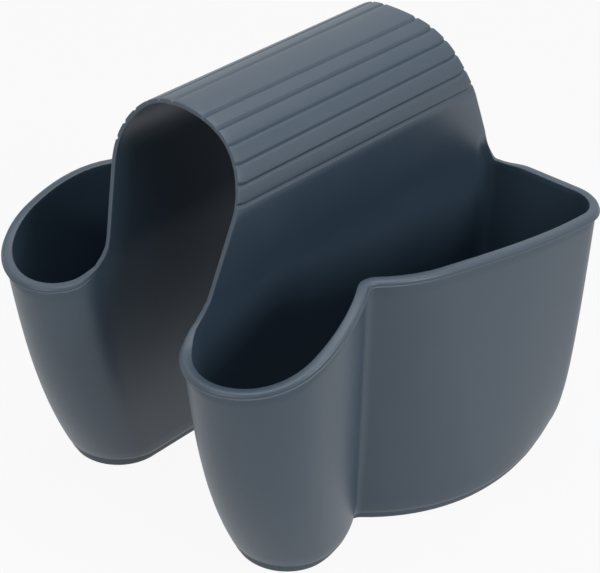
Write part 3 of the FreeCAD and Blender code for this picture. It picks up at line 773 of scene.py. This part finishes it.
def half_piece(caddy, name, side):
    """One leg of the strap with its pocket's wall and lip; side is 1 right, -1 left."""
    pocket = PocketForm(caddy)
    strap = StrapForm(caddy, pocket)
    grooves = groove_runs(caddy, side)
    sheet = caddy.strap.sheet
    sizes = caddy.pocket
    floor = caddy.floor
    last = pocket.last

    # How much of the leg's lean each column of the pocket takes, and how full its lip is.
    tops = [pocket.wall(column, pocket.tops[column])[0] for column in range(last + 1)]
    run = [0.0]
    for start, end in zip(tops, tops[1:]):
        run.append(run[-1] + (end - start).length)
    fade = caddy.strap.neck_fade
    leaning = [1.0 - smooth_step(min(place, run[-1] - place) / fade) for place in run]
    corner = run[pocket.corner_column + LIP_END]
    lips = [
        smooth_step(place / sizes.near_fade) * smooth_step((corner - place) / sizes.far_fade)
        for place in run
    ]

    def wall(column, height):
        point, out = pocket.wall(column, height)
        lean = strap.leg_x(height) - strap.gap_at(height)
        point.x += lean * leaning[column]
        out.z = strap.lean_at(height)[1] * leaning[column]
        return point, out.normalized()

    # The free edge runs down the near edge, round the lip and up the far edge.
    runs = strap.arch_runs(grooves[0], strap.arch_run, grooves)[::-1]
    arch = [strap.arch_row(run, grooves) for run in runs]
    leg = []
    for row in range(1, LEG_ROWS):
        place = row / LEG_ROWS
        near_z = pocket.tops[0] + (strap.spring - pocket.tops[0]) * place
        far_z = pocket.tops[-1] + (strap.spring - pocket.tops[-1]) * place
        near, near_out = strap.leg_edge(strap.near_y, strap.near, near_z)
        far, far_out = strap.leg_edge(strap.far_y, strap.far, far_z)
        leg.append((near, far, near_out, far_out))
    rim = [wall(column, pocket.tops[column]) for column in range(last + 1)]
    upper = len(leg) + len(arch)
    points = [row[0] for row in arch[::-1]] + [row[0] for row in leg[::-1]]
    points += [point for point, _ in rim]
    points += [row[1] for row in leg] + [row[1] for row in arch]
    normals = [row[2] for row in arch[::-1]] + [row[2] for row in leg[::-1]]
    normals += [out for _, out in rim]
    normals += [row[3] for row in leg] + [row[2] for row in arch]
    cuts = [row[3] for row in arch[::-1]] + [0.0] * (len(leg) * 2 + last + 1)
    cuts += [row[3] for row in arch]
    fullness = [0.0] * upper + lips + [0.0] * upper
    path = RimPath(caddy, points, normals, fullness, cuts)
    margin = path.sections[0][0][1]

    # Rows of the wall below the lip: the closing edge, the round and the plain wall.
    base = floor.foot_height
    top = FLOOR_HIGH.z
    inner = floor.inner_round
    tuck = (sheet + inner, (base + top) / 2.0)
    outside_foot = [tuck]
    outside_foot += [(done, base + ahead) for ahead, done in quarter_round(floor.wall_round)[::-1]]
    inside_foot = [tuck]
    inside_foot += [(sheet + ahead, top + done) for ahead, done in quarter_round(inner)]

    def wall_rows(foot, depth):
        """Points of the wall's face, one list for each column."""
        made = []
        for column in range(last + 1):
            index = upper + column
            goal = path.place(index, path.steps if depth else 0)
            points = []
            for inset, height in foot:
                point, out = pocket.wall(column, height)
                points.append(point - out * inset)
            start = foot[-1][1]
            at_goal, out = wall(column, goal.z)
            shift = goal - (at_goal - out * sheet * depth)
            for row in range(1, WALL_ROWS + 1):
                place = row / WALL_ROWS
                height = start + (goal.z - start) * place
                point, out = wall(column, height)
                point = point - out * sheet * depth
                points.append(point + shift * place**LIP_SWING)
            points[-1] = goal
            made.append(points)
        return made

    def leg_point(points, row, column, inset):
        """Point of the leg's face between the pocket's first and last column."""
        point = points[0][row].lerp(points[last][row], leg_share(column))
        if 0 < column < LEG_COLUMNS:
            face, normal = strap.leg_face(point.y, point.z)
            point.x = face.x - inset / normal.x
        return point

    parts = []
    for depth, foot in ((0.0, outside_foot), (1.0, inside_foot)):
        columns = wall_rows(foot, depth)
        low_rows = len(foot) + WALL_ROWS - 1

        def wall_place(column, row, columns=columns):
            return columns[column][row]

        def leg_place(column, row, columns=columns, low_rows=low_rows, depth=depth, foot=foot):
            if row <= low_rows:
                inset = foot[row][0] if row < len(foot) else sheet * depth
                return leg_point(columns, row, column, inset)
            step = row - low_rows
            near = upper - step
            far = upper + last + step
            place = leg_share(column)
            start = path.points[near] + path.ups[near] * margin
            stop = path.points[far] + path.ups[far] * margin
            normal = path.normals[near].lerp(path.normals[far], place).normalized()
            point = start.lerp(stop, place)
            if step <= len(leg) and 0 < column < LEG_COLUMNS:
                face, normal = strap.leg_face(point.y, point.z)
                point.x = face.x
            return point - normal * (sheet - path.grooves[near]) * depth

        parts.append(laid_grid(last, low_rows, wall_place))
        parts.append(laid_grid(LEG_COLUMNS, low_rows + upper, leg_place))
    parts.append(laid_grid(len(points) - 1, path.steps, path.place))
    piece = joined(name, parts)
    return piece if side > 0 else mirrored(piece)


def floor_piece(caddy, name, side):
    """The floor of one pocket with its foot ring and drain holes."""
    pocket = PocketForm(caddy)
    floor = caddy.floor
    last = pocket.last
    columns = last + LEG_COLUMNS
    top = FLOOR_HIGH.z
    under = floor.foot_height - FLOOR_DROP
    in_wall = caddy.strap.sheet - floor.tuck
    ring_out = floor.foot_inset
    ring_in = ring_out + floor.foot_width
    edge = quarter_round(floor.foot_round)
    section = [(in_wall, top), (in_wall, under), (ring_out, under)]
    section += [(ring_out + done, ahead) for ahead, done in edge]
    section += [(ring_in - ahead, done) for ahead, done in edge]
    section.append((ring_in, floor.foot_height))

    def place(column, row):
        inset, height = section[row]
        if column <= last:
            point, out = pocket.wall(column, top)
        else:
            near = pocket.wall(0, top)[0].y
            far = pocket.wall(last, top)[0].y
            y = far + (near - far) * leg_share(column - last)
            shift, turn = pocket.leg_bow(y, top)
            point = Vector((caddy.foot.half_gap + shift, y, top))
            out = Vector((-math.cos(turn), math.sin(turn), 0.0))
        point = point - out * inset
        point.z = height
        return point

    piece = joined(name, [laid_grid(columns, len(section) - 1, place)])
    x = pocket.wall(0, top)[0].x + floor.drain_reach
    drills = []
    for hole in range(floor.drain_count):
        y = floor.drain_start + hole * floor.drain_pitch
        bpy.ops.mesh.primitive_cylinder_add(
            vertices=DRAIN_SIDES,
            radius=floor.drain_diameter / 2.0,
            depth=4.0 * top,
            location=(x, y, top),
        )
        drills.append(bpy.context.active_object)
    if drills:
        bpy.ops.object.select_all(action="DESELECT")
        for drill in drills:
            drill.select_set(True)
        bpy.ops.object.join()
        drill = bpy.context.active_object
        cut = piece.modifiers.new("drains", "BOOLEAN")
        cut.operation = "DIFFERENCE"
        cut.object = drill
        bpy.ops.object.select_all(action="DESELECT")
        bpy.context.view_layer.objects.active = piece
        piece.select_set(True)
        bpy.ops.object.modifier_apply(modifier=cut.name)
        bpy.data.objects.remove(drill)
        bpy.ops.object.shade_smooth_by_angle(angle=SMOOTH_ANGLE)
    return piece if side > 0 else mirrored(piece)


def rubber_noise(tree, places, scale, detail, roughness):
    """Noise on the piece's own coordinates; scale is in features per metre."""
    noise = tree.nodes.new("ShaderNodeTexNoise")
    noise.inputs["Scale"].default_value = scale
    noise.inputs["Detail"].default_value = detail
    noise.inputs["Roughness"].default_value = roughness
    tree.links.new(places.outputs["Object"], noise.inputs["Vector"])
    return noise


def rubber_material(caddy):
    """Satin slate rubber with a fine mould grain and faint chalky patches."""
    finish = caddy.rubber
    material = bpy.data.materials.new("slate_rubber")
    material.use_nodes = True
    tree = material.node_tree
    nodes = tree.nodes
    links = tree.links
    shader = nodes["Principled BSDF"]
    places = nodes.new("ShaderNodeTexCoord")
    patches = rubber_noise(tree, places, scale=38.0, detail=5.0, roughness=0.62)
    tones = nodes.new("ShaderNodeValToRGB")
    for element, level, tint in zip(
        tones.color_ramp.elements, PATCH_RANGE, (finish.tone, finish.bloom)
    ):
        element.position = level
        element.color = (*tint, 1.0)
    links.new(patches.outputs["Fac"], tones.inputs["Fac"])
    links.new(tones.outputs["Color"], shader.inputs["Base Color"])
    sheen = nodes.new("ShaderNodeMapRange")
    sheen.inputs["To Min"].default_value = finish.roughness + PATCH_ROUGHNESS[0]
    sheen.inputs["To Max"].default_value = finish.roughness + PATCH_ROUGHNESS[1]
    links.new(patches.outputs["Fac"], sheen.inputs["Value"])
    links.new(sheen.outputs["Result"], shader.inputs["Roughness"])
    shader.inputs["Specular IOR Level"].default_value = finish.gloss
    grain = rubber_noise(tree, places, scale=2600.0, detail=2.0, roughness=0.5)
    bump = nodes.new("ShaderNodeBump")
    bump.inputs["Strength"].default_value = GRAIN_STRENGTH
    bump.inputs["Distance"].default_value = finish.grain
    links.new(grain.outputs["Fac"], bump.inputs["Height"])
    links.new(bump.outputs["Normal"], shader.inputs["Normal"])
    return material


def finished(caddy, piece, nodes):
    """Give a piece its rubber and hide the solids it stands for."""
    material = bpy.data.materials.get("slate_rubber") or rubber_material(caddy)
    piece.data.materials.clear()
    piece.data.materials.append(material)
    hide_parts(*nodes)
    return piece


class CADDY_OT_crown(bpy.types.Operator):
    """Build the plain panel on top of the strap"""

    bl_idname = "caddy.crown"
    bl_label = "Strap Crown"

    def execute(self, context):
        caddy = context.scene.caddy
        piece = finished(caddy, crown_piece(caddy), ["saddle_crown"])
        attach(piece, "saddle")
        return {"FINISHED"}


class CADDY_OT_halves(bpy.types.Operator):
    """Build the two legs with their pockets and lips"""

    bl_idname = "caddy.halves"
    bl_label = "Legs and Pockets"

    def execute(self, context):
        caddy = context.scene.caddy
        strap = StrapForm(caddy, PocketForm(caddy))
        for hand, side in (("right", 1), ("left", -1)):
            piece = half_piece(caddy, hand + "_skin", side)
            finished(caddy, piece, [hand + "_leg", hand + "_pocket", hand + "_rim"])
            grooves = groove_runs(caddy, side)
            first = strap.arch_face(side * grooves[0])[0]
            last = strap.arch_face(side * grooves[-2])[0]
            tuple(first)
            tuple(last)
            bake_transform(piece)
        return {"FINISHED"}


class CADDY_OT_floors(bpy.types.Operator):
    """Build the two floors with their foot rings and drain holes"""

    bl_idname = "caddy.floors"
    bl_label = "Floors"

    def execute(self, context):
        caddy = context.scene.caddy
        for hand, side in (("right", 1), ("left", -1)):
            piece = finished(caddy, floor_piece(caddy, hand + "_base", side), [hand + "_floor"])
            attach(piece, hand + "_side")
        return {"FINISHED"}


class CADDY_OT_stage(bpy.types.Operator):
    """Lay the paper floor and set the lights and the camera"""

    bl_idname = "caddy.stage"
    bl_label = "Stage"

    def execute(self, context):
        scene = context.scene
        settings = scene.caddy.stage
        lay_paper(settings)
        light_world(scene, settings)
        for name, place, width in SOFT_BOXES:
            hang_soft_box(name, Vector(place), width, getattr(settings, name), Vector(settings.aim))
        place_camera(scene, settings)
        scene.view_settings.view_transform = "Standard"
        return {"FINISHED"}


def seen_directly(tree):
    """Factor that is 1 for camera, mirror and glass rays."""
    path = tree.nodes.new("ShaderNodeLightPath")
    first = tree.nodes.new("ShaderNodeMath")
    first.operation = "MAXIMUM"
    tree.links.new(path.outputs["Is Camera Ray"], first.inputs[0])
    tree.links.new(path.outputs["Is Glossy Ray"], first.inputs[1])
    both = tree.nodes.new("ShaderNodeMath")
    both.operation = "MAXIMUM"
    tree.links.new(first.outputs["Value"], both.inputs[0])
    tree.links.new(path.outputs["Is Transmission Ray"], both.inputs[1])
    return both.outputs["Value"]


def lay_paper(settings):
    """A pale paper floor that keeps a soft shadow."""
    bpy.ops.object.select_all(action="DESELECT")
    bpy.ops.mesh.primitive_plane_add(size=PAPER_SIZE)
    paper = bpy.context.active_object
    paper.name = "paper_floor"
    material = bpy.data.materials.new("white_paper")
    material.use_nodes = True
    tree = material.node_tree
    tree.nodes.clear()
    matte = tree.nodes.new("ShaderNodeBsdfDiffuse")
    matte.inputs["Color"].default_value = (*settings.paper, 1.0)
    glow = tree.nodes.new("ShaderNodeEmission")
    glow.inputs["Color"].default_value = (1.0, 1.0, 1.0, 1.0)
    blend = tree.nodes.new("ShaderNodeMixShader")
    weight = tree.nodes.new("ShaderNodeMath")
    weight.operation = "MULTIPLY"
    weight.inputs[1].default_value = settings.glow
    tree.links.new(seen_directly(tree), weight.inputs[0])
    tree.links.new(weight.outputs["Value"], blend.inputs["Fac"])
    tree.links.new(matte.outputs["BSDF"], blend.inputs[1])
    tree.links.new(glow.outputs["Emission"], blend.inputs[2])
    output = tree.nodes.new("ShaderNodeOutputMaterial")
    tree.links.new(blend.outputs["Shader"], output.inputs["Surface"])
    paper.data.materials.append(material)


def light_world(scene, settings):
    """White all round for the camera, softer for the light on the object."""
    world = bpy.data.worlds.new("white_room")
    scene.world = world
    world.use_nodes = True
    tree = world.node_tree
    background = tree.nodes["Background"]
    background.inputs["Color"].default_value = (1.0, 1.0, 1.0, 1.0)
    level = tree.nodes.new("ShaderNodeMapRange")
    level.inputs["To Min"].default_value = settings.ambient
    level.inputs["To Max"].default_value = 1.0
    tree.links.new(seen_directly(tree), level.inputs["Value"])
    tree.links.new(level.outputs["Result"], background.inputs["Strength"])


def hang_soft_box(name, place, width, power, aim):
    """A square soft box that faces the object."""
    bpy.ops.object.light_add(type="AREA", location=place)
    lamp = bpy.context.active_object
    lamp.name = name
    lamp.data.shape = "SQUARE"
    lamp.data.size = width
    lamp.data.energy = power
    lamp.rotation_euler = (aim - place).to_track_quat("-Z", "Y").to_euler()


def place_camera(scene, settings):
    """The camera at the photograph's angle."""
    azimuth = settings.azimuth
    elevation = settings.elevation
    level = math.cos(elevation)
    back = Vector((math.sin(azimuth) * level, -math.cos(azimuth) * level, math.sin(elevation)))
    right = Vector((math.cos(azimuth), math.sin(azimuth), 0.0))
    up = back.cross(right)
    side = right * math.cos(settings.roll) + up * math.sin(settings.roll)
    top = up * math.cos(settings.roll) - right * math.sin(settings.roll)
    camera = bpy.data.cameras.new("camera")
    camera.sensor_fit = "HORIZONTAL"
    camera.sensor_width = 36.0
    camera.lens = settings.lens
    camera.clip_start = 0.01
    holder = bpy.data.objects.new("camera", camera)
    scene.collection.objects.link(holder)
    turn = Matrix((side, top, back)).transposed().to_4x4()
    holder.matrix_world = Matrix.Translation(Vector(settings.aim) + back * settings.distance) @ turn
    scene.camera = holder


class CADDY_PT_panel(bpy.types.Panel):
    """The caddy's pieces in the sidebar"""

    bl_label = "Sink Caddy"
    bl_space_type = "VIEW_3D"
    bl_region_type = "UI"
    bl_category = "Caddy"

    def draw(self, context):
        for operator in OPERATORS:
            self.layout.operator(operator.bl_idname)
        for group, sizes in context.scene.caddy.items_by_group():
            box = self.layout.box()
            box.label(text=group)
            for field in sizes.__annotations__:
                box.prop(sizes, field)


OPERATORS = (CADDY_OT_crown, CADDY_OT_halves, CADDY_OT_floors, CADDY_OT_stage)
CLASSES = (
    FootOutline,
    RimOutline,
    StrapSizes,
    PocketSizes,
    FloorSizes,
    RubberFinish,
    StageSettings,
    CaddySettings,
    *OPERATORS,
    CADDY_PT_panel,
)


def register():
    for item in CLASSES:
        bpy.utils.register_class(item)
    bpy.types.Scene.caddy = PointerProperty(type=CaddySettings)


def unregister():
    del bpy.types.Scene.caddy
    for item in reversed(CLASSES):
        bpy.utils.unregister_class(item)


def main():
    register()
    bpy.ops.caddy.crown()
    bpy.ops.caddy.halves()
    bpy.ops.caddy.floors()
    bpy.ops.caddy.stage()


if __name__ == "__main__":
    main()
